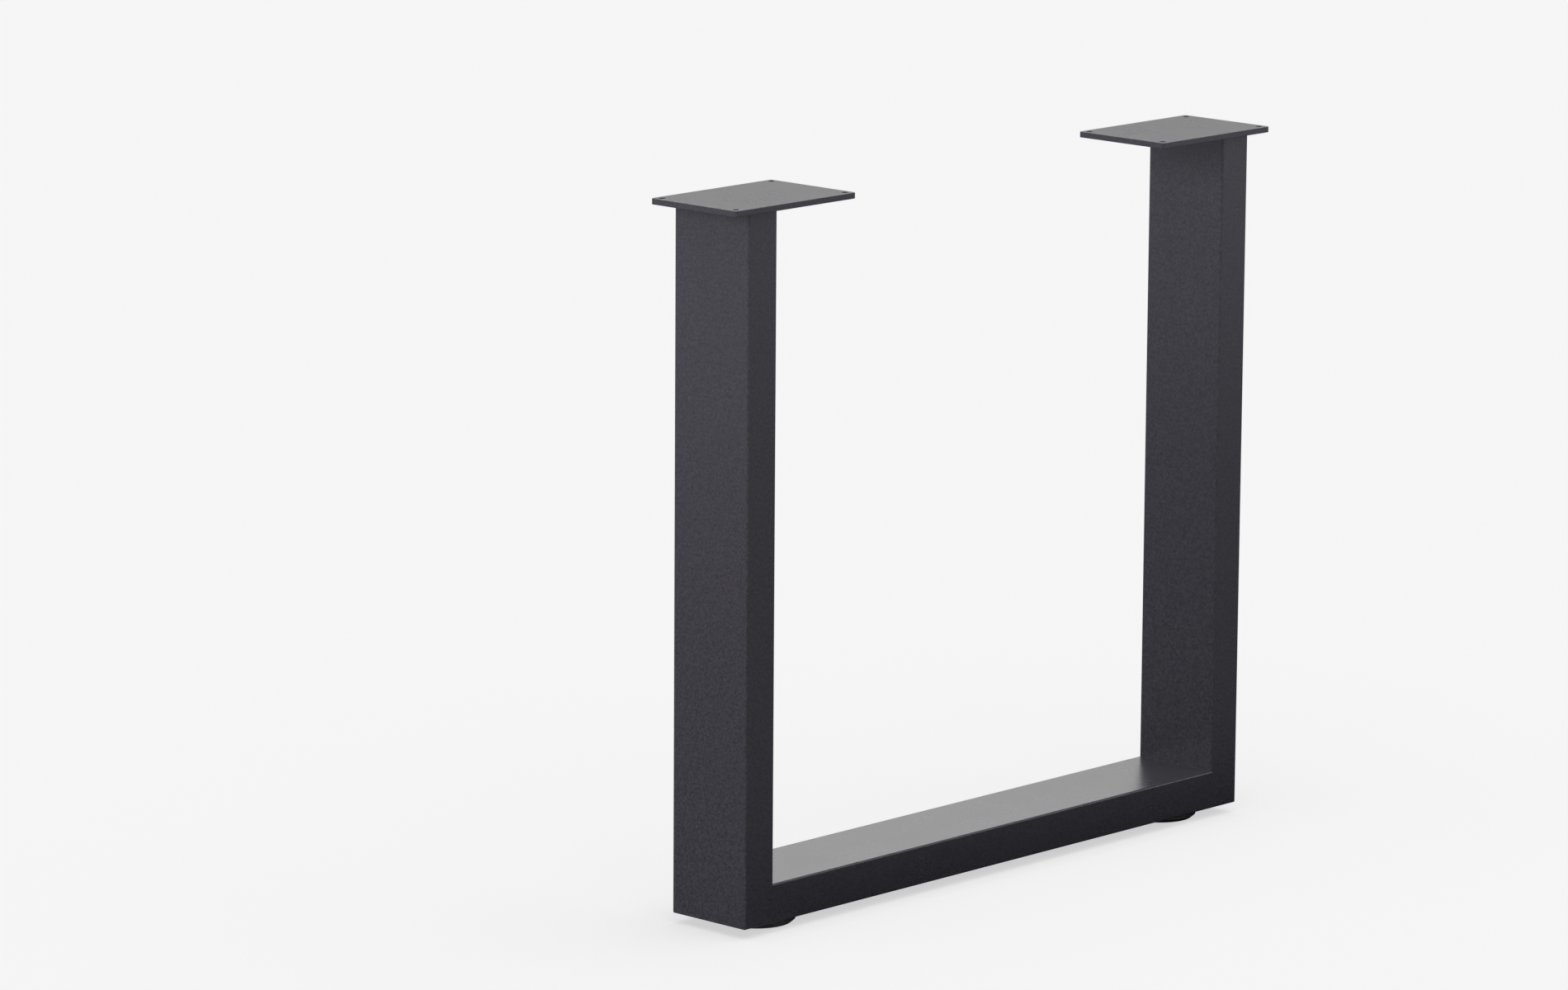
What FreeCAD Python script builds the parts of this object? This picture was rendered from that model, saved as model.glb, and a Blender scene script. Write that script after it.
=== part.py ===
import FreeCAD, Part
import math
import os
import Sketcher

# U shaped table leg: two uprights and a bottom rail of rectangular steel tube,
# mitred together at the lower corners. A flat plate on each upright takes the
# table top, and a round levelling foot screws up into each end of the rail.
# The leg stands on its feet: +X runs along the rail, +Y across the tube, +Z up,
# and the origin is on the floor under the middle of the rail. Millimetres.

document = FreeCAD.newDocument("u_table_leg")

# Driving dimensions, one row each: name, value, what it is
SIZES = (
    ("leg_length", 750.0, "rail length over the outer faces of the uprights"),
    ("frame_height", 720.0, "from the rail's underside to the top of the plates"),
    ("tube_width", 100.0, "tube section across the leg"),
    ("tube_depth", 40.0, "tube section along the leg, and the rail's height"),
    ("tube_wall", 2.0, "wall of the tube"),
    ("tube_outer_radius", 2.0, "rounded corner of the tube, outside"),
    ("tube_inner_radius", 0.5, "rounded corner of the tube, inside"),
    ("plate_length", 170.0, "mounting plate along the leg"),
    ("plate_width", 115.0, "mounting plate across the leg"),
    ("plate_thickness", 6.0, "mounting plate"),
    ("plate_corner_radius", 3.0, "rounded corner of the plate, seen from above"),
    ("plate_rim_chamfer", 0.5, "broken rim of the plate, above and below"),
    ("plate_overhang", 26.0, "plate beyond the outer face of the upright"),
    ("screw_hole_radius", 3.25, "hole for a wood screw in the plate"),
    ("screw_hole_inset", 8.0, "hole centre in from the plate's edges"),
    ("foot_inset", 67.5, "foot axis in from the outer face of the upright"),
    ("insert_radius", 6.5, "barrel of the threaded insert"),
    ("insert_clearance", 0.05, "rail hole over the insert's barrel, on radius"),
    ("insert_flange_radius", 9.5, "flange of the insert, under the rail"),
    ("insert_flange_thickness", 1.5, "flange of the insert"),
    ("insert_fold_radius", 8.5, "folded collar that grips the wall from inside"),
    ("insert_fold_height", 4.0, "folded collar"),
    ("insert_thread_height", 12.0, "threaded end of the insert, above the collar"),
    ("sleeve_clearance", 0.6, "plain lower end of the insert over the stud, on radius"),
    ("thread_clearance", 0.05, "threaded end of the insert over the stud, on radius"),
    ("stud_radius", 5.0, "stud of the foot, over its thread"),
    ("stud_reach", 30.0, "stud above the pad"),
    ("stud_tip_chamfer", 1.0, "bevelled tip of the stud"),
    ("stud_head_flats", 16.0, "hexagonal head moulded into the pad, across flats"),
    ("stud_head_height", 3.5, "hexagonal head"),
    ("stud_head_floor", 2.5, "plastic under the hexagonal head"),
    ("pad_radius", 40.0, "pad at its widest"),
    ("pad_sole_radius", 36.0, "flat sole of the pad"),
    ("pad_bevel_height", 3.5, "bevel between the sole and the rim"),
    ("pad_rim_height", 7.5, "top of the rim above the floor"),
    ("pad_rim_draft", 0.5, "taper of the rim towards its top, on radius"),
    ("pad_hub_radius", 11.5, "flat hub that meets the insert's flange"),
    ("pad_height", 9.0, "hub above the floor"),
    ("pad_edge_chamfer", 0.8, "broken upper edge of the pad's rim"),
)

sheet = document.addObject("Spreadsheet::Sheet", "Sizes")
for row, (name, size, meaning) in enumerate(SIZES, start=1):
    sheet.set(f"A{row}", meaning)
    sheet.set(f"B{row}", str(size))
    sheet.setAlias(f"B{row}", name)
document.recompute()

# Places and sizes that several pieces share, worked out from the driving ones
RAIL_UNDERSIDE = "(Sizes.pad_height + Sizes.insert_flange_thickness)"
PLATE_UNDERSIDE = "(Sizes.frame_height - Sizes.plate_thickness)"
UPRIGHT_AXIS = "(Sizes.leg_length / 2 - Sizes.tube_depth / 2)"
PLATE_AXIS = "(Sizes.leg_length / 2 + Sizes.plate_overhang - Sizes.plate_length / 2)"
FOOT_AXIS = "(Sizes.leg_length / 2 - Sizes.foot_inset)"
STUD_HEAD_TOP = "(Sizes.stud_head_floor + Sizes.stud_head_height)"
HOLLOW_WIDTH = "(Sizes.tube_width - 2 * Sizes.tube_wall)"
HOLLOW_DEPTH = "(Sizes.tube_depth - 2 * Sizes.tube_wall)"

QUARTER_TURN = math.pi / 2
UPWARD = FreeCAD.Vector(0, 0, 1)


def value(expression):
    """The number that an expression of the sizes comes to."""
    return float(sheet.evalExpression(expression))


def origin():
    """A sketch's own origin, as constraints name it."""
    return -1, 1


def start_of(element):
    """The start point of a sketch element."""
    return element, 1


def end_of(element):
    """The end point of a sketch element."""
    return element, 2


def centre_of(element):
    """The centre of a circle in a sketch."""
    return element, 3


def is_same(first, second):
    """True for two lengths that differ by rounding only."""
    return math.isclose(first, second, abs_tol=1e-6)


def new_body(label, side, x_expression, z_expression):
    """A body at its end of the leg; the right one is the left one turned half round."""
    body = document.addObject("PartDesign::Body", label)
    body.Label = label
    if side == "right":
        body.Placement = FreeCAD.Placement(FreeCAD.Vector(), FreeCAD.Rotation(UPWARD, 180))
    sign = "-" if side == "left" else ""
    body.setExpression("Placement.Base.x", sign + x_expression)
    body.setExpression("Placement.Base.z", z_expression)
    return body


def new_sketch(body, name, role, height=None):
    """A sketch on one of the body's own origin planes, raised to a height if one is given."""
    sketch = body.newObject("Sketcher::SketchObject", name)
    plane = [feature for feature in body.Origin.OriginFeatures if feature.Role == role][0]
    sketch.AttachmentSupport = (plane, "")
    sketch.MapMode = "FlatFace"
    if height:
        sketch.setExpression("AttachmentOffset.Base.z", height)
    return sketch


def dimension(sketch, kind, elements, expression):
    """Add a dimension to a sketch and bind it to the sizes."""
    constraint = Sketcher.Constraint(kind, *elements, value(expression))
    index = sketch.addConstraint(constraint)
    sketch.setExpression(f"Constraints[{index}]", expression)


def constrain(sketch, kind, *elements):
    """Add a constraint that has no size."""
    sketch.addConstraint(Sketcher.Constraint(kind, *elements))


def place_point(sketch, point, x_expression, y_expression):
    """Dimension one point of a sketch from the sketch's origin."""
    dimension(sketch, "DistanceX", (*origin(), *point), x_expression)
    dimension(sketch, "DistanceY", (*origin(), *point), y_expression)


def draw_outline(sketch, corners):
    """A closed outline of straight lines; each corner is a pair of expressions."""
    points = [FreeCAD.Vector(value(x), value(y), 0) for x, y in corners]
    lines = []
    for start, end in zip(points, points[1:] + points[:1]):
        lines.append(sketch.addGeometry(Part.LineSegment(start, end), False))
    for line, following in zip(lines, lines[1:] + lines[:1]):
        constrain(sketch, "Coincident", *end_of(line), *start_of(following))
    for line, (x_expression, y_expression) in zip(lines, corners):
        place_point(sketch, start_of(line), x_expression, y_expression)


def draw_circle(sketch, radius, x_expression="0", y_expression="0"):
    """A circle with its radius and centre bound to the sizes."""
    centre = FreeCAD.Vector(value(x_expression), value(y_expression), 0)
    circle = sketch.addGeometry(Part.Circle(centre, UPWARD, value(radius)), False)
    dimension(sketch, "Radius", (circle,), radius)
    place_point(sketch, centre_of(circle), x_expression, y_expression)


def draw_hexagon(sketch, flats):
    """A regular hexagon about the sketch's origin, with two corners on its X axis."""
    corner = f"{flats} / sqrt(3)"
    draw_outline(
        sketch,
        (
            (corner, "0"),
            (f"{corner} / 2", f"{flats} / 2"),
            (f"-{corner} / 2", f"{flats} / 2"),
            (f"-{corner}", "0"),
            (f"-{corner} / 2", f"-{flats} / 2"),
            (f"{corner} / 2", f"-{flats} / 2"),
        ),
    )


def draw_rounded_rectangle(sketch, width, height, radius, base):
    """A rectangle with round corners, centred on the vertical axis, its lower side at base."""
    corner = value(radius)
    across = value(width) / 2 - corner
    lower = value(base) + corner
    upper = value(base) + value(height) - corner
    arcs = []
    for quarter, (x, y) in enumerate(
        ((across, upper), (-across, upper), (-across, lower), (across, lower))
    ):
        circle = Part.Circle(FreeCAD.Vector(x, y, 0), UPWARD, corner)
        start = quarter * QUARTER_TURN
        arc = Part.ArcOfCircle(circle, start, start + QUARTER_TURN)
        arcs.append(sketch.addGeometry(arc, False))
    sides = []
    for arc, following in zip(arcs, arcs[1:] + arcs[:1]):
        start = sketch.Geometry[arc].EndPoint
        end = sketch.Geometry[following].StartPoint
        side = sketch.addGeometry(Part.LineSegment(start, end), False)
        constrain(sketch, "Tangent", *end_of(arc), *start_of(side))
        constrain(sketch, "Tangent", *end_of(side), *start_of(following))
        sides.append(side)
    top, left, bottom, right = sides
    for side in (top, bottom):
        constrain(sketch, "Horizontal", side)
    for side in (left, right):
        constrain(sketch, "Vertical", side)
    for arc in arcs[1:]:
        constrain(sketch, "Equal", arcs[0], arc)
    dimension(sketch, "Radius", (arcs[0],), radius)
    dimension(sketch, "DistanceX", (*origin(), *start_of(right)), f"{width} / 2")
    dimension(sketch, "DistanceX", (*start_of(left), *start_of(right)), width)
    dimension(sketch, "DistanceY", (*origin(), *start_of(bottom)), base)
    dimension(sketch, "DistanceY", (*start_of(bottom), *start_of(top)), height)


def add_feature(body, kind, name, sketch, length=None, **settings):
    """A pad, pocket or revolution of a sketch, its length bound to the sizes."""
    feature = body.newObject(f"PartDesign::{kind}", name)
    feature.Profile = sketch
    for setting, choice in settings.items():
        setattr(feature, setting, choice)
    if length:
        feature.setExpression("Length", length)
    sketch.Visibility = False
    document.recompute()
    return feature


def expect_less(body, before, name):
    """Stop if a cut, or its repeats, left the body's volume as it was."""
    after = body.Shape.Volume
    if after > before or is_same(after, before):
        raise RuntimeError(f"{body.Label}: {name} cuts nothing")


def cut(body, name, sketch, length=None, **settings):
    """A pocket that has to take material away."""
    before = body.Shape.Volume
    pocket = add_feature(body, "Pocket", name, sketch, length, **settings)
    expect_less(body, before, name)
    return pocket


def turn(body, name, sketch):
    """A full turn of a half profile about the body's vertical axis."""
    return add_feature(
        body, "Revolution", name, sketch, ReferenceAxis=(sketch, ["V_Axis"]), Angle=360
    )


def chamfer_edges(body, name, feature, is_wanted, size):
    """A chamfer on the edges of a feature that a test picks."""
    edges = [
        f"Edge{number}"
        for number, edge in enumerate(feature.Shape.Edges, start=1)
        if is_wanted(edge)
    ]
    if not edges:
        raise RuntimeError(f"{body.Label}: {name} finds no edge")
    chamfer = body.newObject("PartDesign::Chamfer", name)
    chamfer.Base = (feature, edges)
    chamfer.setExpression("Size", size)
    document.recompute()
    return chamfer


def is_rim(radius_expression, height_expression):
    """A test for the circle of a given radius and height about the body's axis."""
    radius = value(radius_expression)
    height = value(height_expression)

    def test(edge):
        circle = edge.Curve
        if not isinstance(circle, Part.Circle):
            return False
        return is_same(circle.Radius, radius) and is_same(circle.Center.z, height)

    return test


def is_level(edge):
    """True for an edge that lies in a horizontal plane."""
    return is_same(edge.BoundBox.ZMin, edge.BoundBox.ZMax)


def draw_tube(sketch, width, depth, hollow_width, hollow_depth, base):
    """The tube's section, outside and inside."""
    draw_rounded_rectangle(sketch, width, depth, "Sizes.tube_outer_radius", base)
    draw_rounded_rectangle(
        sketch, hollow_width, hollow_depth, "Sizes.tube_inner_radius", f"{base} + Sizes.tube_wall"
    )


def build_upright(side):
    """Tube from the mitre on the rail up to the plate, mitred at its lower end."""
    body = new_body(f"{side}_upright", side, UPRIGHT_AXIS, RAIL_UNDERSIDE)
    section = new_sketch(body, f"{side}_upright_section", "XY_Plane")
    draw_tube(
        section, "Sizes.tube_depth", "Sizes.tube_width", HOLLOW_DEPTH, HOLLOW_WIDTH,
        "-Sizes.tube_width / 2",
    )
    add_feature(body, "Pad", f"{side}_upright_tube", section, PLATE_UNDERSIDE)

    # The cut runs up from the outer lower corner to the rail's top
    mitre = new_sketch(body, f"{side}_upright_mitre_line", "XZ_Plane")
    draw_outline(
        mitre,
        (
            ("-Sizes.tube_depth", "-Sizes.tube_depth / 2"),
            ("Sizes.tube_depth", "-Sizes.tube_depth / 2"),
            ("Sizes.tube_depth", "3 * Sizes.tube_depth / 2"),
        ),
    )
    cut(body, f"{side}_upright_mitre", mitre, Type="ThroughAll", Midplane=True)
    return body


def build_rail():
    """Tube along the floor, mitred at both ends, with a hole for each threaded insert."""
    body = new_body("bottom_rail", "middle", "0", RAIL_UNDERSIDE)
    section = new_sketch(body, "rail_section", "YZ_Plane")
    draw_tube(
        section, "Sizes.tube_width", "Sizes.tube_depth", HOLLOW_WIDTH, HOLLOW_DEPTH, "0",
    )
    add_feature(body, "Pad", "rail_tube", section, "Sizes.leg_length", Midplane=True)

    mitre = new_sketch(body, "rail_mitre_line", "XZ_Plane")
    draw_outline(
        mitre,
        (
            ("-Sizes.leg_length / 2 - Sizes.tube_depth / 2", "-Sizes.tube_depth / 2"),
            ("-Sizes.leg_length / 2 + 3 * Sizes.tube_depth / 2", "3 * Sizes.tube_depth / 2"),
            ("-Sizes.leg_length / 2 - Sizes.tube_depth / 2", "3 * Sizes.tube_depth / 2"),
        ),
    )
    left_mitre = cut(body, "rail_mitre", mitre, Type="ThroughAll", Midplane=True)

    hole = new_sketch(body, "insert_hole_circle", "XY_Plane")
    draw_circle(hole, "Sizes.insert_radius + Sizes.insert_clearance", f"-{FOOT_AXIS}")
    left_hole = cut(body, "insert_hole", hole, "Sizes.tube_depth / 2", Reversed=True)

    before = body.Shape.Volume
    mirrored = body.newObject("PartDesign::Mirrored", "right_end")
    mirrored.Originals = [left_mitre, left_hole]
    mirrored.MirrorPlane = (hole, ["V_Axis"])
    body.Tip = mirrored
    document.recompute()
    expect_less(body, before, "right_end")
    return body


def build_mounting_plate(side):
    """Flat plate welded on the upright, with a screw hole near each corner."""
    height = f"{RAIL_UNDERSIDE} + {PLATE_UNDERSIDE}"
    body = new_body(f"{side}_mounting_plate", side, PLATE_AXIS, height)
    outline = new_sketch(body, f"{side}_plate_outline", "XY_Plane")
    draw_rounded_rectangle(
        outline, "Sizes.plate_length", "Sizes.plate_width", "Sizes.plate_corner_radius",
        "-Sizes.plate_width / 2",
    )
    flat = add_feature(body, "Pad", f"{side}_plate_flat", outline, "Sizes.plate_thickness")
    chamfer_edges(body, f"{side}_plate_rim", flat, is_level, "Sizes.plate_rim_chamfer")

    circle = new_sketch(body, f"{side}_screw_hole_circle", "XY_Plane")
    draw_circle(
        circle,
        "Sizes.screw_hole_radius",
        "Sizes.screw_hole_inset - Sizes.plate_length / 2",
        "Sizes.screw_hole_inset - Sizes.plate_width / 2",
    )
    hole = cut(body, f"{side}_screw_hole", circle, Type="ThroughAll", Reversed=True)

    before = body.Shape.Volume
    pattern = body.newObject("PartDesign::LinearPattern", f"{side}_screw_holes")
    pattern.Originals = [hole]
    pattern.Direction = (circle, ["H_Axis"])
    pattern.Direction2 = (circle, ["V_Axis"])
    pattern.Occurrences = 2
    pattern.Occurrences2 = 2
    pattern.setExpression("Length", "Sizes.plate_length - 2 * Sizes.screw_hole_inset")
    pattern.setExpression("Length2", "Sizes.plate_width - 2 * Sizes.screw_hole_inset")
    body.Tip = pattern
    document.recompute()
    expect_less(body, before, "screw_holes")
    return body


def build_threaded_insert(side):
    """Rivet nut set in the rail's lower wall: flange outside, folded collar inside."""
    body = new_body(f"{side}_threaded_insert", side, FOOT_AXIS, RAIL_UNDERSIDE)
    profile = new_sketch(body, f"{side}_insert_profile", "XZ_Plane")
    sleeve = "Sizes.stud_radius + Sizes.sleeve_clearance"
    thread = "Sizes.stud_radius + Sizes.thread_clearance"
    under_fold = "Sizes.tube_wall"
    over_fold = "Sizes.tube_wall + Sizes.insert_fold_height"
    top = f"{over_fold} + Sizes.insert_thread_height"
    draw_outline(
        profile,
        (
            (sleeve, "-Sizes.insert_flange_thickness"),
            ("Sizes.insert_flange_radius", "-Sizes.insert_flange_thickness"),
            ("Sizes.insert_flange_radius", "0"),
            ("Sizes.insert_radius", "0"),
            ("Sizes.insert_radius", under_fold),
            ("Sizes.insert_fold_radius", under_fold),
            ("Sizes.insert_fold_radius", over_fold),
            ("Sizes.insert_radius", over_fold),
            ("Sizes.insert_radius", top),
            (thread, top),
            (thread, over_fold),
            (sleeve, over_fold),
        ),
    )
    turn(body, f"{side}_insert_turned", profile)
    return body


def build_foot_pad(side):
    """Round moulded pad: flat sole, bevel, drafted rim, and a top that rises to a flat hub."""
    body = new_body(f"{side}_foot_pad", side, FOOT_AXIS, "0")
    profile = new_sketch(body, f"{side}_pad_profile", "XZ_Plane")
    rim_top = "Sizes.pad_radius - Sizes.pad_rim_draft"
    draw_outline(
        profile,
        (
            ("0", "0"),
            ("Sizes.pad_sole_radius", "0"),
            ("Sizes.pad_radius", "Sizes.pad_bevel_height"),
            (rim_top, "Sizes.pad_rim_height"),
            ("Sizes.pad_hub_radius", "Sizes.pad_height"),
            ("0", "Sizes.pad_height"),
        ),
    )
    turned = turn(body, f"{side}_pad_turned", profile)
    upper_edge = is_rim(rim_top, "Sizes.pad_rim_height")
    chamfer_edges(body, f"{side}_pad_edge", turned, upper_edge, "Sizes.pad_edge_chamfer")

    # The plastic is moulded round the stud's head and the start of its shank
    head = new_sketch(body, f"{side}_pad_head_seat_outline", "XY_Plane", "Sizes.stud_head_floor")
    draw_hexagon(head, "Sizes.stud_head_flats")
    cut(body, f"{side}_pad_head_seat", head, "Sizes.stud_head_height", Reversed=True)
    shank = new_sketch(body, f"{side}_pad_shank_circle", "XY_Plane", STUD_HEAD_TOP)
    draw_circle(shank, "Sizes.stud_radius")
    cut(body, f"{side}_pad_shank_hole", shank, Type="ThroughAll", Reversed=True)
    return body


def build_foot_stud(side):
    """Steel stud: a hexagonal head held in the pad and a shank up into the insert."""
    body = new_body(f"{side}_foot_stud", side, FOOT_AXIS, "0")
    hexagon = new_sketch(body, f"{side}_stud_hexagon", "XY_Plane", "Sizes.stud_head_floor")
    draw_hexagon(hexagon, "Sizes.stud_head_flats")
    add_feature(body, "Pad", f"{side}_stud_head", hexagon, "Sizes.stud_head_height")

    circle = new_sketch(body, f"{side}_stud_circle", "XY_Plane", STUD_HEAD_TOP)
    draw_circle(circle, "Sizes.stud_radius")
    length = f"Sizes.pad_height + Sizes.stud_reach - {STUD_HEAD_TOP}"
    shank = add_feature(body, "Pad", f"{side}_stud_shank", circle, length)
    tip = is_rim("Sizes.stud_radius", "Sizes.pad_height + Sizes.stud_reach")
    chamfer_edges(body, f"{side}_stud_tip", shank, tip, "Sizes.stud_tip_chamfer")
    return body


def check(bodies):
    """Stop if any object failed or any piece isn't one sound solid."""
    for item in document.Objects:
        if "Invalid" in item.State or "Error" in item.State:
            raise RuntimeError(f"{item.Label} failed: {item.State}")
    for body in bodies:
        shape = body.Shape
        if shape.isNull() or not shape.isValid() or len(shape.Solids) != 1:
            raise RuntimeError(f"{body.Label} isn't one valid solid")


pieces = [build_rail()]
for end in ("left", "right"):
    pieces.append(build_upright(end))
    pieces.append(build_mounting_plate(end))
    pieces.append(build_threaded_insert(end))
    pieces.append(build_foot_pad(end))
    pieces.append(build_foot_stud(end))

document.recompute()
check(pieces)

os.makedirs("parts", exist_ok=True)
for piece in pieces:
    piece.Shape.exportStep(f"parts/{piece.Label}.step")
    box = piece.Shape.BoundBox
    print(
        f"{piece.Label}: {piece.Shape.Volume:.0f} mm3,"
        f" x {box.XMin:.2f} to {box.XMax:.2f},"
        f" y {box.YMin:.2f} to {box.YMax:.2f},"
        f" z {box.ZMin:.2f} to {box.ZMax:.2f}"
    )
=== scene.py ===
"""U shaped table leg: a powder-coated frame of steel tube with a drilled plate on each upright
and a levelling foot under each end of the rail. Lengths are in metres and angles in degrees."""

import math

import bmesh
import bpy
from mathutils import Matrix, Vector


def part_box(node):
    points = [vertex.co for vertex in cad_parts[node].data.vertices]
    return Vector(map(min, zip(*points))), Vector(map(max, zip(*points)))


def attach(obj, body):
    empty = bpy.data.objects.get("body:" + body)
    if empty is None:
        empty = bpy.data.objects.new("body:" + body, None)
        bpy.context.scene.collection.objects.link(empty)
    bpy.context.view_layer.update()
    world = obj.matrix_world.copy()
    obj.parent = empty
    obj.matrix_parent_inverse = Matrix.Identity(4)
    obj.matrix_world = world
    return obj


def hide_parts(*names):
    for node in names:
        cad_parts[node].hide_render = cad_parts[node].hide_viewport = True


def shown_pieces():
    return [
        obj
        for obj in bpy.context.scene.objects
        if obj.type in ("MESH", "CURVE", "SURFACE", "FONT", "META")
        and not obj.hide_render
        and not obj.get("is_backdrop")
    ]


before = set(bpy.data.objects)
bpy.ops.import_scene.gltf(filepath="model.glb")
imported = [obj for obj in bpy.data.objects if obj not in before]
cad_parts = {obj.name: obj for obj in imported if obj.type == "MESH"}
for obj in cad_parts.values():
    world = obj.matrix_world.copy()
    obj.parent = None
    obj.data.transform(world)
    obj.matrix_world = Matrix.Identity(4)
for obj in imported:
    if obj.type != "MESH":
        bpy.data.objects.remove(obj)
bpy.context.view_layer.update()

MM = 0.001

# The tube's section and the weld's corners, ground smooth
TUBE_OUTER_RADIUS = 2.0 * MM
TUBE_INNER_RADIUS = 0.5 * MM
TUBE_WALL = 2.0 * MM
MITRE_RADIUS = 0.9 * MM
CREASE_RADIUS = 0.15 * MM
INSERT_HOLE_RADIUS = 6.55 * MM

# The plates, cut from 6 mm sheet
PLATE_CORNER_RADIUS = 3.0 * MM
PLATE_RIM_RADIUS = 0.55 * MM
HOLE_RADIUS = 3.25 * MM
HOLE_INSET = 8.0 * MM
HOLE_RIM_RADIUS = 0.2 * MM

# The levelling foot: an M10 stud moulded into a nylon pad
PAD_SOLE_INSET = 4.0 * MM
PAD_BEVEL_HEIGHT = 3.5 * MM
PAD_RIM_HEIGHT = 7.5 * MM
PAD_RIM_INSET = 0.5 * MM
PAD_HUB_RADIUS = 11.5 * MM
PAD_HUB_STEP = 0.04 * MM
PAD_HUB_SLOPE = 0.8 * MM
STUD_RADIUS = 5.0 * MM
STUD_HEAD_FLATS = 16.0 * MM
STUD_HEAD_RADIUS = STUD_HEAD_FLATS / math.sqrt(3)
STUD_HEAD_FLOOR = 2.5 * MM
STUD_HEAD_TOP = 6.0 * MM
STUD_HEAD_BEVEL = 0.35 * MM
THREAD_PITCH = 1.5 * MM
THREAD_DEPTH = 0.92 * MM
# The pad's room round the corners of the stud's head, and round its shank
HEAD_CLEARANCE = 0.05 * MM
SHANK_CLEARANCE = 0.02 * MM

# The insert set in the rail's lower wall
FLANGE_THICKNESS = 1.5 * MM
FOLD_RADIUS = 8.5 * MM
FOLD_HEIGHT = 4.0 * MM
BARREL_RADIUS = 6.5 * MM
THREAD_BORE_RADIUS = 5.05 * MM
SLEEVE_BORE_RADIUS = 5.6 * MM

# Straight steps in a whole turn of each round piece, and in a quarter turn of each small edge
PAD_SEGMENTS = 128
INSERT_SEGMENTS = 96
INSERT_HOLE_SEGMENTS = 64
SCREW_HOLE_SEGMENTS = 40
THREAD_SEGMENTS = 40
CORNER_STEPS = 8
RIM_STEPS = 4

# Points this close are one point, on a shape and between the turns of the thread
SAME_POINT = 0.0001 * MM
SAME_THREAD_POINT = 0.005 * MM

# The powder coat's grains are 0.3 to 0.6 mm across, on clusters of them that are up to 2.4 mm,
# which is the finest that shows in the render. Its thickness changes slowly.
COAT_CLUSTER = 2.4 * MM
COAT_RELIEF = 0.02 * MM
COAT_CLOUDING = 45.0 * MM
ZINC_CLOUDING = 4.0 * MM
# The nylon's real grain is about 0.1 mm; this one is 0.5 mm, so that it shows close up
NYLON_GRAIN = 0.5 * MM
NYLON_RELIEF = 0.03 * MM
# Nearly all of a noise's values lie between these
NOISE_LOW, NOISE_HIGH = 0.3, 0.7

# What the leg's gloss shows of the set at each angle above the horizon, and of the floor at each
# distance from the painted shade on it. The floor's tones are painted shade, darkest next to the
# leg, which only reflections show
SKY_TONES = ((0, 0.05), (10, 0.05), (14, 0.3), (18, 4.0), (22, 4.0), (27, 0.3), (38, 0.5),
             (52, 0.91), (90, 0.91))
PAINTED_FLOOR_SHADE_TONES = ((0, 0.02), (0.06, 0.04), (0.15, 0.16), (0.35, 0.27), (0.8, 0.31), (1.6, 0.34),
               (3.2, 0.90), (6.0, 1.0))
FLOOR_TONES_REACH = 8.0
FLOOR_TINT = (0.97, 0.94, 1.07)
# The span along X of the shade painted on the floor: it stops short of the left foot and reaches on
# past the right one
PAINTED_SHADE_SPAN = (-0.2, 1.375)
# The plain light that falls on the leg from the set and from the floor
SET_LIGHT = 0.35
FLOOR_LIGHT = 0.25
# The lamps: name, direction that it shines from, width as seen from the leg, strength, and
# whether it lights the floor too
LAMPS = (("side_softbox", (-1.0, 0.1, 0.3), 30, 2.7, False),
         ("overhead_softbox", (0.0, -0.3, 1.0), 90, 2.35, True))
# The pale ground, and how much of the floor is lit paper, which takes the leg's shadow
BACKGROUND = "f5f5f5"
PAPER_TONE = 0.87
PAPER_SHARE = 0.35
FLOOR_HALF_WIDTH = 40

# The camera at the photograph's place, found from the leg's corners. Its lens and its sensor are
# in millimetres.
CAMERA_PLACE = (-5.3572, -4.8043, 1.8283)
CAMERA_YAW = 43.364
CAMERA_PITCH = -11.3335
CAMERA_ROLL = 0.37
CAMERA_LENS = 165.886
CAMERA_SENSOR_WIDTH = 36
CAMERA_CLIP_END = 100


def colour(code):
    """Linear RGBA of an sRGB colour written as six hex digits."""
    parts = [int(code[i:i + 2], 16) / 255 for i in (0, 2, 4)]
    return [*(p / 12.92 if p <= 0.04045 else ((p + 0.055) / 1.055) ** 2.4 for p in parts), 1.0]


def grey(tone, tint=(1, 1, 1)):
    """Linear RGBA of a tinted grey."""
    return [*(tone * part for part in tint), 1.0]


def add_node(tree, kind, settings={}, inputs={}):
    """Add a node, set its properties, and give each input a value or a link from an output."""
    node = tree.nodes.new(kind)
    for name, setting in settings.items():
        setattr(node, name, setting)
    for socket, source in inputs.items():
        if isinstance(source, bpy.types.NodeSocket):
            tree.links.new(source, node.inputs[socket])
        else:
            node.inputs[socket].default_value = source
    return node


def emptied_tree(owner):
    """Node tree of a material or a world, with no nodes in it."""
    owner.use_nodes = True
    owner.node_tree.nodes.clear()
    return owner.node_tree


# Finishes

def new_material(name):
    """Empty material: its node tree, its shader and its object coordinates."""
    material = bpy.data.materials.new(name)
    tree = emptied_tree(material)
    shader = add_node(tree, "ShaderNodeBsdfPrincipled")
    add_node(tree, "ShaderNodeOutputMaterial", inputs={"Surface": shader.outputs[0]})
    place = add_node(tree, "ShaderNodeTexCoord").outputs["Object"]
    return material, tree, shader, place


def mottling(tree, place, size, detail, roughness, tones):
    """Noise with patches up to this size, and the colour that follows its (value, hex) tones."""
    noise = add_node(tree, "ShaderNodeTexNoise", inputs={
        "Vector": place, "Scale": 1 / size, "Detail": detail, "Roughness": roughness})
    ramp = add_node(tree, "ShaderNodeValToRGB", inputs={"Fac": noise.outputs["Fac"]})
    for stop, (value, code) in zip(ramp.color_ramp.elements, tones):
        stop.position, stop.color = value, colour(code)
    return noise.outputs["Fac"], ramp.outputs["Color"]


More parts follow.
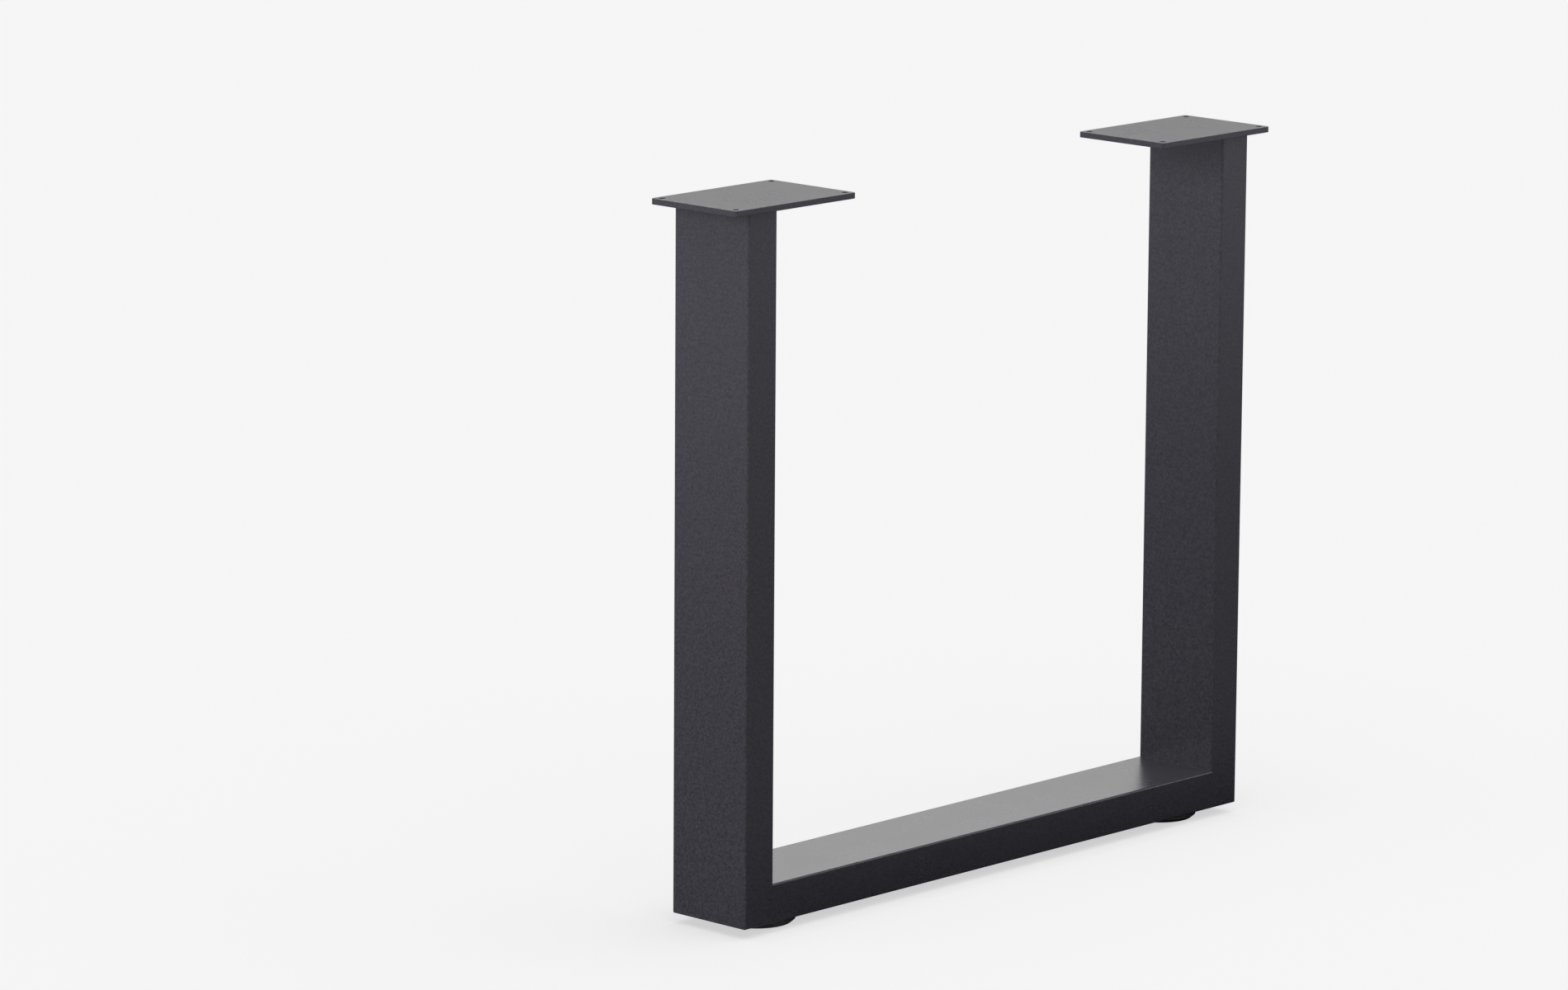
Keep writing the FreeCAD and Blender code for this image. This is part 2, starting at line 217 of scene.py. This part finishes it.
def anthracite_powder_coat():
    """Polyester powder, sprayed and baked: satin, and finely pebbled where the grains melted
    together, so that it looks soft and speckled close up and even from afar."""
    material, tree, shader, place = new_material("anthracite_powder_coat")
    grain, speckle = mottling(tree, place, COAT_CLUSTER, detail=3.0, roughness=0.65,
                              tones=((NOISE_LOW, "1b1a1f"), (NOISE_HIGH, "37363b")))
    tree.links.new(speckle, shader.inputs["Base Color"])
    clouding = add_node(tree, "ShaderNodeTexNoise", inputs={
        "Vector": place, "Scale": 1 / COAT_CLOUDING, "Detail": 2.0})
    gloss = add_node(tree, "ShaderNodeMapRange", inputs={
        "Value": clouding.outputs["Fac"], "From Min": NOISE_LOW, "From Max": NOISE_HIGH,
        "To Min": 0.27, "To Max": 0.285})
    tree.links.new(gloss.outputs["Result"], shader.inputs["Roughness"])
    pebbles = add_node(tree, "ShaderNodeBump", inputs={
        "Height": grain, "Strength": 1.0, "Distance": COAT_RELIEF})
    tree.links.new(pebbles.outputs["Normal"], shader.inputs["Normal"])
    shader.inputs["IOR"].default_value = 1.5
    return material


def zinc_plating():
    """Bright zinc on rolled steel: pale grey metal, faintly clouded, with soft reflections."""
    material, tree, shader, place = new_material("bright_zinc_plating")
    clouding, tone = mottling(tree, place, ZINC_CLOUDING, detail=3.0, roughness=0.5,
                              tones=((0.35, "aeb1b6"), (0.65, "c6c8cb")))
    tree.links.new(tone, shader.inputs["Base Color"])
    gloss = add_node(tree, "ShaderNodeMapRange", inputs={
        "Value": clouding, "From Min": NOISE_LOW, "From Max": NOISE_HIGH,
        "To Min": 0.24, "To Max": 0.36})
    tree.links.new(gloss.outputs["Result"], shader.inputs["Roughness"])
    shader.inputs["Metallic"].default_value = 1.0
    return material


def moulded_nylon():
    """Black nylon from a spark-eroded mould: dull, with an even, very fine grain."""
    material, tree, shader, place = new_material("black_moulded_nylon")
    grain, tone = mottling(tree, place, NYLON_GRAIN, detail=2.0, roughness=0.5,
                           tones=((0.35, "141415"), (0.65, "1a1a1b")))
    tree.links.new(tone, shader.inputs["Base Color"])
    texture = add_node(tree, "ShaderNodeBump", inputs={
        "Height": grain, "Strength": 0.3, "Distance": NYLON_RELIEF})
    tree.links.new(texture.outputs["Normal"], shader.inputs["Normal"])
    shader.inputs["Roughness"].default_value = 0.5
    shader.inputs["IOR"].default_value = 1.53
    return material


# The record's material slots and the finish that stands for each
FINISHES = {
    "powder_coated_steel": anthracite_powder_coat(),
    "zinc_plated_steel": zinc_plating(),
    "moulded_nylon": moulded_nylon(),
}


# Shapes

def arc(centre_x, centre_y, radius, start, end, steps):
    """Points along an arc, both ends included."""
    angles = [math.radians(start + (end - start) * i / steps) for i in range(steps + 1)]
    return [(centre_x + radius * math.cos(a), centre_y + radius * math.sin(a)) for a in angles]


def level_circle(centre_x, centre_y, radius, z, segments):
    """Points round a circle that lies level."""
    return [(x, y, z) for x, y in arc(centre_x, centre_y, radius, 0, 360, segments)[:-1]]


def rounded_rectangle(half_x, half_y, radius):
    """Corner arcs of a rounded rectangle, anticlockwise."""
    x, y = half_x - radius, half_y - radius
    return [point for sign_x, sign_y, start in ((1, 1, 0), (-1, 1, 90), (-1, -1, 180), (1, -1, 270))
            for point in arc(sign_x * x, sign_y * y, radius, start, start + 90, CORNER_STEPS)]


def rounded_profile(corners, steps=5):
    """Path through (r, z, fillet) corners, with each corner that has a fillet rounded."""
    points = []
    for i, (r, z, fillet) in enumerate(corners):
        here = Vector((r, z))
        if not fillet:
            points.append((r, z))
            continue
        before = (Vector(corners[i - 1][:2]) - here).normalized()
        after = (Vector(corners[(i + 1) % len(corners)][:2]) - here).normalized()
        half = before.angle(after) / 2
        centre = here + (before + after).normalized() * fillet / math.sin(half)
        start = here + before * fillet / math.tan(half) - centre
        end = here + after * fillet / math.tan(half) - centre
        turn = start.angle_signed(end)
        for k in range(steps + 1):
            points.append(tuple(centre + Matrix.Rotation(-turn * k / steps, 2) @ start))
    return points


def loft(shape, rings, closed=False):
    """Skin from ring to ring, and from the last to the first where closed."""
    loops = [[shape.verts.new(point) for point in ring] for ring in rings]
    pairs = zip(loops, loops[1:] + loops[:1]) if closed else zip(loops, loops[1:])
    for low, high in pairs:
        for i, corner in enumerate(low):
            j = (i + 1) % len(low)
            shape.faces.new((corner, low[j], high[j], high[i]))
    return loops


def turned(profile, centre_x, segments):
    """Shape of an (r, z) profile turned about the upright line at centre_x. The profile runs from
    axis to axis, or is closed on itself."""
    shape = bmesh.new()
    loft(shape, [level_circle(centre_x, 0, r, z, segments) for r, z in profile],
         closed=profile[0][0] > 0)
    return shape


def face_outwards(shape):
    """Turn every face of a closed shape to the outside."""
    bmesh.ops.recalc_face_normals(shape, faces=shape.faces)
    if shape.calc_volume(signed=True) < 0:
        bmesh.ops.reverse_faces(shape, faces=shape.faces)


def add_object(name, data):
    """Object in the scene, at the origin, that holds the data."""
    thing = bpy.data.objects.new(name, data)
    bpy.context.scene.collection.objects.link(thing)
    return thing


def add_shape(name, shape):
    """Object in the scene with the shape as its mesh. The shape is freed."""
    mesh = bpy.data.meshes.new(name)
    shape.to_mesh(mesh)
    shape.free()
    return add_object(name, mesh)


def apply_modifiers(piece):
    """Turn what the modifiers make into the piece's own plain mesh."""
    depsgraph = bpy.context.evaluated_depsgraph_get()
    mesh = bpy.data.meshes.new_from_object(
        piece.evaluated_get(depsgraph), preserve_all_data_layers=True, depsgraph=depsgraph)
    piece.modifiers.clear()
    piece.data = mesh
    mesh.name = piece.name


def modified_shape(blank):
    """Shape that the blank's modifiers make. The blank leaves the scene."""
    apply_modifiers(blank)
    shape = bmesh.new()
    shape.from_mesh(blank.data)
    bpy.data.objects.remove(blank)
    return shape


def finished_piece(shape, name, body, nodes, slot, sharp=30):
    """Make a piece of the shape, smooth but for its sharp edges, that stands for the nodes."""
    bmesh.ops.remove_doubles(shape, verts=shape.verts, dist=SAME_POINT)
    face_outwards(shape)
    piece = add_shape(name, shape)
    piece.data.shade_smooth()
    piece.data.set_sharp_from_angle(angle=math.radians(sharp))
    piece.data.materials.append(FINISHES[slot])
    # Flat faces keep their own normal, so that only the rounded edges bend the light
    weighted = piece.modifiers.new("flat_faces", "WEIGHTED_NORMAL")
    weighted.keep_sharp = True
    apply_modifiers(piece)
    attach(piece, body)
    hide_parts(*nodes)


# The tubes

RAIL_LOW, RAIL_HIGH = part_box("bottom_rail")
UPRIGHT_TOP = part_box("left_upright")[1].z
TUBE_WIDTH = RAIL_HIGH.y - RAIL_LOW.y
TUBE_DEPTH = RAIL_HIGH.z - RAIL_LOW.z
CORNER_X = RAIL_HIGH.x - TUBE_DEPTH / 2
CORNER_Z = (RAIL_LOW.z + RAIL_HIGH.z) / 2

# The outlines of the tube's outer and inner faces as (outward, across) points, outward being away
# from the u's inside
TUBE_OUTLINES = [
    rounded_rectangle(TUBE_DEPTH / 2 - inset, TUBE_WIDTH / 2 - inset, radius)
    for inset, radius in ((0, TUBE_OUTER_RADIUS), (TUBE_WALL, TUBE_INNER_RADIUS))]


def mitre_rings(outline, sign, start, end, steps=4):
    """Rings round part of the lower corner on one side, from start to end."""
    rings = []
    for k in range(steps + 1):
        angle = math.radians(start + (end - start) * k / steps)
        along, down = math.cos(angle), math.sin(angle)
        ring = []
        for outward, across in outline:
            radius = MITRE_RADIUS if outward > 0 else CREASE_RADIUS
            ring.append((sign * (CORNER_X + outward - radius + radius * along), across,
                         CORNER_Z - outward + radius - radius * down))
        rings.append(ring)
    return rings


def hollow_tube(outer, inner):
    """Shape between the rings of a tube's outer face and those of its inner face."""
    shape = bmesh.new()
    loft(shape, outer + inner[::-1], closed=True)
    return shape


def build_upright(side, sign):
    """Hollow upright, mitred at its lower end."""
    surfaces = []
    for outline in TUBE_OUTLINES:
        top = [(sign * (CORNER_X + outward), across, UPRIGHT_TOP) for outward, across in outline]
        surfaces.append([top] + mitre_rings(outline, sign, 0, 45))
    finished_piece(hollow_tube(*surfaces), f"{side}_upright_tube", "frame", [f"{side}_upright"],
                   "powder_coated_steel")


def build_rail():
    """Hollow rail, mitred at both ends, with a hole for each insert in its lower wall."""
    shape = hollow_tube(*(mitre_rings(outline, -1, 45, 90) + mitre_rings(outline, 1, 90, 45)
                          for outline in TUBE_OUTLINES))
    face_outwards(shape)
    blank = add_shape("rail_blank", shape)
    drills = bmesh.new()
    for side in ("left", "right"):
        low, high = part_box(f"{side}_threaded_insert")
        centre = Vector(((low.x + high.x) / 2, (low.y + high.y) / 2, RAIL_LOW.z + TUBE_WALL / 2))
        bmesh.ops.create_cone(
            drills, cap_ends=True, segments=INSERT_HOLE_SEGMENTS, radius1=INSERT_HOLE_RADIUS,
            radius2=INSERT_HOLE_RADIUS, depth=2 * TUBE_WALL, matrix=Matrix.Translation(centre))
    cutter = add_shape("rail_drills", drills)
    cut = blank.modifiers.new("insert_holes", "BOOLEAN")
    cut.operation, cut.solver, cut.object = "DIFFERENCE", "EXACT", cutter
    drilled = modified_shape(blank)
    bpy.data.objects.remove(cutter)
    finished_piece(drilled, "bottom_rail_tube", "frame", ["bottom_rail"], "powder_coated_steel")


# The mounting plates

def rounded_edge(rim, bottom, top):
    """(inset, height) pairs up an edge with both of its rims rounded."""
    lower = [(rim - rim * math.sin(a), bottom + rim - rim * math.cos(a))
             for a in (i * math.pi / 2 / RIM_STEPS for i in range(RIM_STEPS + 1))]
    return lower + [(inset, bottom + top - z) for inset, z in reversed(lower)]


def build_plate(side):
    """Flat plate with rounded corners, four screw holes and the coat's soft edges."""
    node = f"{side}_mounting_plate"
    low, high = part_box(node)
    centre, half = (low + high) / 2, (high - low) / 2
    shape = bmesh.new()
    walls = [loft(shape, [
        [(centre.x + x, centre.y + y, z) for x, y in rounded_rectangle(
            half.x - inset, half.y - inset, PLATE_CORNER_RADIUS - inset)]
        for inset, z in rounded_edge(PLATE_RIM_RADIUS, low.z, high.z)])]
    for sign_x in (-1, 1):
        for sign_y in (-1, 1):
            x = centre.x + sign_x * (half.x - HOLE_INSET)
            y = centre.y + sign_y * (half.y - HOLE_INSET)
            walls.append(loft(shape, [
                level_circle(x, y, HOLE_RADIUS + inset, z, SCREW_HOLE_SEGMENTS)
                for inset, z in rounded_edge(HOLE_RIM_RADIUS, low.z, high.z)]))
    # The underside spans the first ring of every wall, and the top spans the last one
    for level in (0, -1):
        rims = [shape.edges.get((corner, after)) for rings in walls
                for corner, after in zip(rings[level], rings[level][1:] + rings[level][:1])]
        bmesh.ops.triangle_fill(shape, use_beauty=True, edges=rims)
    finished_piece(shape, f"{side}_plate", "frame", [node], "powder_coated_steel")


# The levelling feet and their inserts

def build_pad(side):
    """Moulded pad, closed round the stud's head and shank."""
    low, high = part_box(f"{side}_foot_pad")
    axis, radius, top = (low.x + high.x) / 2, (high.x - low.x) / 2, high.z
    head_radius = STUD_HEAD_RADIUS + HEAD_CLEARANCE
    head_top = STUD_HEAD_TOP + SHANK_CLEARANCE
    shank_radius = STUD_RADIUS + SHANK_CLEARANCE
    profile = rounded_profile([
        (0, 0, 0),
        (radius - PAD_SOLE_INSET, 0, 0.8 * MM),
        (radius, PAD_BEVEL_HEIGHT, 0.9 * MM),
        (radius - PAD_RIM_INSET, PAD_RIM_HEIGHT, 0.9 * MM),
        (PAD_HUB_RADIUS + PAD_HUB_SLOPE, top - PAD_HUB_STEP, 0.5 * MM),
        (PAD_HUB_RADIUS, top, 0.4 * MM),
        (shank_radius, top, 0.2 * MM),
        (shank_radius, head_top, 0),
        (head_radius, head_top, 0),
        (head_radius, STUD_HEAD_FLOOR, 0),
        (0, STUD_HEAD_FLOOR, 0),
    ])
    finished_piece(turned(profile, axis, PAD_SEGMENTS), f"{side}_pad", f"{side}_foot",
                   [f"{side}_foot_pad"], "moulded_nylon")


def build_insert(side):
    """Rivet nut: a flange outside the rail's wall, a fold inside it and a threaded barrel."""
    low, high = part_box(f"{side}_threaded_insert")
    axis, flange_radius = (low.x + high.x) / 2, (high.x - low.x) / 2
    flange_top = low.z + FLANGE_THICKNESS
    wall_top = flange_top + TUBE_WALL
    thread_floor = wall_top + FOLD_HEIGHT
    profile = rounded_profile([
        (SLEEVE_BORE_RADIUS, low.z, 0.3 * MM),
        (flange_radius, low.z, 0.4 * MM),
        (flange_radius, flange_top, 0.2 * MM),
        (BARREL_RADIUS, flange_top, 0),
        (BARREL_RADIUS, wall_top, 0),
        (FOLD_RADIUS, wall_top, 0.9 * MM),
        (FOLD_RADIUS, thread_floor, 1.2 * MM),
        (BARREL_RADIUS, thread_floor, 0),
        (BARREL_RADIUS, high.z, 0.4 * MM),
        (THREAD_BORE_RADIUS, high.z, 0.3 * MM),
        (THREAD_BORE_RADIUS, thread_floor, 0),
        (SLEEVE_BORE_RADIUS, thread_floor, 0),
    ])
    finished_piece(turned(profile, axis, INSERT_SEGMENTS), f"{side}_rivet_nut", "frame",
                   [f"{side}_threaded_insert"], "zinc_plated_steel")


def thread_tree():
    """Geometry nodes that wind one pitch of a metric thread's profile round an axis along Z."""
    tree = bpy.data.node_groups.new("metric_thread", "GeometryNodeTree")
    tree.interface.new_socket("Geometry", in_out="OUTPUT", socket_type="NodeSocketGeometry")
    for name in ("Radius", "Depth", "Pitch", "Start", "Tip"):
        tree.interface.new_socket(name, in_out="INPUT", socket_type="NodeSocketFloat")
    for name in ("Turns", "Segments"):
        tree.interface.new_socket(name, in_out="INPUT", socket_type="NodeSocketInt")
    tree.interface.new_socket("Material", in_out="INPUT", socket_type="NodeSocketMaterial")
    given = add_node(tree, "NodeGroupInput").outputs
    flat = add_node(tree, "ShaderNodeSeparateXYZ", inputs={
        0: add_node(tree, "GeometryNodeInputPosition").outputs[0]}).outputs

    # The thread starts as a flat strip, 1 by 1, that stands for all the turns along X and for one
    # pitch along Y. Each line names what an operation makes of the inputs and the lines above.
    workings = (
        ("steps", "MULTIPLY", "Turns", "Segments"),
        ("columns", "ADD", "steps", 1.0),
        ("along", "ADD", "X", 0.5),
        ("turned", "MULTIPLY", "along", "Turns"),
        ("across", "ADD", "Y", 0.5),
        ("pitches", "ADD", "turned", "across"),
        ("rise", "MULTIPLY", "pitches", "Pitch"),
        ("height", "ADD", "Start", "rise"),
        # The cut below the crest: whole up to 2 sixteenths of a pitch from the root's middle, and
        # none from 7 sixteenths on
        ("from_middle", "SUBTRACT", "across", 0.5),
        ("from_root", "ABSOLUTE", "from_middle"),
        ("past_root", "SUBTRACT", "from_root", 2 / 16),
        ("up_flank", "DIVIDE", "past_root", 5 / 16),
        ("up_from_root", "MAXIMUM", "up_flank", 0.0),
        ("up_to_crest", "MINIMUM", "up_from_root", 1.0),
        ("cut_share", "SUBTRACT", 1.0, "up_to_crest"),
        ("cut", "MULTIPLY", "Depth", "cut_share"),
        ("profile", "SUBTRACT", "Radius", "cut"),
        # The tip is turned down to the root at 45 degrees
        ("below_tip", "SUBTRACT", "Tip", "height"),
        ("root", "SUBTRACT", "Radius", "Depth"),
        ("chamfer", "ADD", "below_tip", "root"),
        ("wound_radius", "MINIMUM", "profile", "chamfer"),
        ("angle", "MULTIPLY", "turned", 2 * math.pi),
        ("cosine", "COSINE", "angle"),
        ("sine", "SINE", "angle"),
        ("wound_x", "MULTIPLY", "wound_radius", "cosine"),
        ("wound_y", "MULTIPLY", "wound_radius", "sine"),
    )
    value = {socket.name: socket for socket in (*given, *flat)}
    for result, operation, *terms in workings:
        step = add_node(tree, "ShaderNodeMath", {"operation": operation},
                        {i: value.get(term, term) for i, term in enumerate(terms)})
        value[result] = step.outputs[0]

    # 16 steps across put a point on each corner of the profile: crest 2, flank 5, root 4, flank 5
    strip = add_node(tree, "GeometryNodeMeshGrid", inputs={
        "Size X": 1.0, "Size Y": 1.0, "Vertices X": value["columns"], "Vertices Y": 17})
    wound = add_node(tree, "ShaderNodeCombineXYZ", inputs={
        "X": value["wound_x"], "Y": value["wound_y"], "Z": value["height"]})
    thread = add_node(tree, "GeometryNodeSetPosition", inputs={
        "Geometry": strip.outputs["Mesh"], "Position": wound.outputs[0]})
    joined = add_node(tree, "GeometryNodeMergeByDistance", inputs={
        "Geometry": thread.outputs[0], "Distance": SAME_THREAD_POINT})
    real = add_node(tree, "GeometryNodeRealizeInstances", inputs={0: joined.outputs[0]})
    finished = add_node(tree, "GeometryNodeSetMaterial", inputs={
        "Geometry": real.outputs[0], "Material": given["Material"]})
    add_node(tree, "NodeGroupOutput", inputs={"Geometry": finished.outputs[0]})
    return tree


THREAD = thread_tree()


def build_stud(side):
    """Steel stud: a hexagonal head inside the pad and a threaded shank with a chamfered tip."""
    node = f"{side}_foot_stud"
    low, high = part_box(node)
    axis = (low.x + high.x) / 2
    # The winding starts inside the head and runs past the tip, and then both ends are squared off
    start = STUD_HEAD_TOP - 2 * THREAD_PITCH
    turns = math.ceil((high.z - start) / THREAD_PITCH) + 1
    blank = add_object("stud_blank", bpy.data.meshes.new("stud_blank"))
    winding = blank.modifiers.new("thread", "NODES")
    winding.node_group = THREAD
    sizes = {"Radius": STUD_RADIUS, "Depth": THREAD_DEPTH, "Pitch": THREAD_PITCH,
             "Start": start, "Tip": high.z, "Turns": turns, "Segments": THREAD_SEGMENTS,
             "Material": FINISHES["zinc_plated_steel"]}
    for socket in THREAD.interface.items_tree:
        if socket.in_out == "INPUT":
            winding[socket.identifier] = sizes[socket.name]
    shape = modified_shape(blank)
    bmesh.ops.translate(shape, verts=shape.verts, vec=(axis, 0, 0))
    for height, direction in ((STUD_HEAD_TOP, -1), (high.z, 1)):
        bmesh.ops.bisect_plane(
            shape, geom=shape.verts[:] + shape.edges[:] + shape.faces[:], dist=SAME_POINT,
            plane_co=(0, 0, height), plane_no=(0, 0, direction), clear_outer=True)
    bmesh.ops.holes_fill(shape, edges=[e for e in shape.edges if e.is_boundary], sides=0)
    # The head, with its edges bevelled at both ends
    bevelled = STUD_HEAD_RADIUS - STUD_HEAD_BEVEL
    loops = loft(shape, [level_circle(axis, 0, radius, z, 6) for radius, z in (
        (bevelled, low.z), (STUD_HEAD_RADIUS, low.z + STUD_HEAD_BEVEL),
        (STUD_HEAD_RADIUS, STUD_HEAD_TOP - STUD_HEAD_BEVEL), (bevelled, STUD_HEAD_TOP))])
    shape.faces.new(loops[0])
    shape.faces.new(loops[-1])
    finished_piece(shape, f"{side}_stud", f"{side}_foot", [node], "zinc_plated_steel", sharp=40)


build_rail()
for side, sign in (("left", -1), ("right", 1)):
    build_upright(side, sign)
    build_plate(side)
    build_insert(side)
    build_pad(side)
    build_stud(side)


# The stage

def graded(tree, source, stops, reach, tint=(1, 1, 1)):
    """Tinted grey that follows (distance, tone) stops of the source, from 0 to reach."""
    share = add_node(tree, "ShaderNodeMath", {"operation": "DIVIDE"}, {0: source, 1: reach})
    ramp = add_node(tree, "ShaderNodeValToRGB", inputs={"Fac": share.outputs[0]})
    for i, (distance, tone) in enumerate(stops):
        stop = (ramp.color_ramp.elements[i] if i < 2
                else ramp.color_ramp.elements.new(distance / reach))
        stop.position, stop.color = distance / reach, grey(tone, tint)
    return ramp.outputs["Color"]


def seen_by(tree, straight, glossy, plain):
    """The straight shader to the camera and through glass, the glossy one to reflections, and
    the plain one as the light that falls on a matt surface."""
    path = add_node(tree, "ShaderNodeLightPath").outputs
    direct = add_node(tree, "ShaderNodeMath", {"operation": "MAXIMUM"}, {
        0: path["Is Camera Ray"], 1: path["Is Transmission Ray"]})
    indirect = add_node(tree, "ShaderNodeMixShader", inputs={
        0: path["Is Glossy Ray"], 1: plain.outputs[0], 2: glossy.outputs[0]})
    return add_node(tree, "ShaderNodeMixShader", inputs={
        0: direct.outputs[0], 1: indirect.outputs[0], 2: straight.outputs[0]}).outputs[0]


def studio_paper():
    """Studio paper: even and pale to the camera, under a soft shadow of the leg. The gloss on the
    leg shows it with a painted shade that darkens towards the leg, and the light that it throws on
    the leg is plain."""
    material = bpy.data.materials.new("studio_paper")
    tree = emptied_tree(material)
    paper = add_node(tree, "ShaderNodeBsdfDiffuse", inputs={"Color": grey(PAPER_TONE)})
    even = add_node(tree, "ShaderNodeEmission", inputs={"Color": colour(BACKGROUND)})
    seen = add_node(tree, "ShaderNodeMixShader", inputs={
        0: PAPER_SHARE, 1: even.outputs[0], 2: paper.outputs[0]})
    # The distance from the painted shade, which is as wide as the rail
    low, high = PAINTED_SHADE_SPAN
    offset = add_node(tree, "ShaderNodeTexCoord").outputs["Object"]
    for operation, other in (("SUBTRACT", ((low + high) / 2, 0, 0)), ("ABSOLUTE", (0, 0, 0)),
                             ("SUBTRACT", ((high - low) / 2, RAIL_HIGH.y, 0)),
                             ("MAXIMUM", (0, 0, 0))):
        offset = add_node(tree, "ShaderNodeVectorMath", {"operation": operation},
                          {0: offset, 1: other}).outputs[0]
    distance = add_node(tree, "ShaderNodeVectorMath", {"operation": "LENGTH"}, {0: offset})
    # The painted shade: the floor's tone in reflections, darker nearer the leg
    tone = graded(tree, distance.outputs["Value"], PAINTED_FLOOR_SHADE_TONES, FLOOR_TONES_REACH, FLOOR_TINT)
    reflected = add_node(tree, "ShaderNodeEmission", inputs={"Color": tone})
    plain = add_node(tree, "ShaderNodeEmission", inputs={"Color": grey(FLOOR_LIGHT, FLOOR_TINT)})
    add_node(tree, "ShaderNodeOutputMaterial", inputs={
        "Surface": seen_by(tree, seen, reflected, plain)})
    # The floor is too wide for samples of it as a lamp to find the leg
    material.cycles.emission_sampling = "NONE"
    return material


def build_floor():
    """Floor of studio paper, far wider than the view."""
    half = FLOOR_HALF_WIDTH
    mesh = bpy.data.meshes.new("floor")
    mesh.from_pydata(
        [(-half, -half, 0), (half, -half, 0), (half, half, 0), (-half, half, 0)], [],
        [(0, 1, 2, 3)])
    mesh.materials.append(studio_paper())
    floor = add_object("floor", mesh)
    floor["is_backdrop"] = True


def build_world():
    """Set round the leg: even and pale to the camera, graded to gloss, and plain as light."""
    world = bpy.data.worlds.new("studio")
    bpy.context.scene.world = world
    tree = emptied_tree(world)
    direction = add_node(tree, "ShaderNodeTexCoord").outputs["Generated"]
    height = add_node(tree, "ShaderNodeSeparateXYZ", inputs={0: direction}).outputs["Z"]
    stops = [(math.sin(math.radians(angle)), tone) for angle, tone in SKY_TONES]
    pale = add_node(tree, "ShaderNodeBackground", inputs={"Color": colour(BACKGROUND)})
    reflected = add_node(tree, "ShaderNodeBackground", inputs={
        "Color": graded(tree, height, stops, 1.0)})
    plain = add_node(tree, "ShaderNodeBackground", inputs={"Color": grey(SET_LIGHT)})
    add_node(tree, "ShaderNodeOutputWorld", inputs={
        "Surface": seen_by(tree, pale, reflected, plain)})


def build_lamps():
    """Soft lamp from the left and a wide one overhead."""
    leg = bpy.data.collections.new("leg")
    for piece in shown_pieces():
        leg.objects.link(piece)
    for name, direction, width, strength, lights_floor in LAMPS:
        lamp = bpy.data.lights.new(name, "SUN")
        lamp.energy = strength
        lamp.angle = math.radians(width)
        softbox = add_object(name, lamp)
        softbox.rotation_euler = Vector(direction).to_track_quat("Z", "Y").to_euler()
        # Gloss shows the graded set, not a white patch for each lamp
        softbox.visible_glossy = False
        # The side lamp would lay a long shadow beside the leg
        if not lights_floor:
            softbox.light_linking.receiver_collection = leg


def build_camera():
    """Camera at the photograph's place."""
    yaw, pitch, roll = (math.radians(a) for a in (CAMERA_YAW, CAMERA_PITCH, CAMERA_ROLL))
    look = Vector((math.cos(yaw) * math.cos(pitch), math.sin(yaw) * math.cos(pitch),
                   math.sin(pitch)))
    right = Vector((math.sin(yaw), -math.cos(yaw), 0))
    up = right.cross(look)
    right, up = (right * math.cos(roll) + up * math.sin(roll),
                 up * math.cos(roll) - right * math.sin(roll))
    data = bpy.data.cameras.new("camera")
    data.sensor_fit = "HORIZONTAL"
    data.sensor_width = CAMERA_SENSOR_WIDTH
    data.lens = CAMERA_LENS
    data.clip_end = CAMERA_CLIP_END
    camera = add_object("camera", data)
    turn = Matrix((right, up, -look)).transposed().to_4x4()
    camera.matrix_world = Matrix.Translation(CAMERA_PLACE) @ turn
    bpy.context.scene.camera = camera


build_floor()
build_world()
build_lamps()
build_camera()
bpy.context.scene.view_settings.view_transform = "Standard"
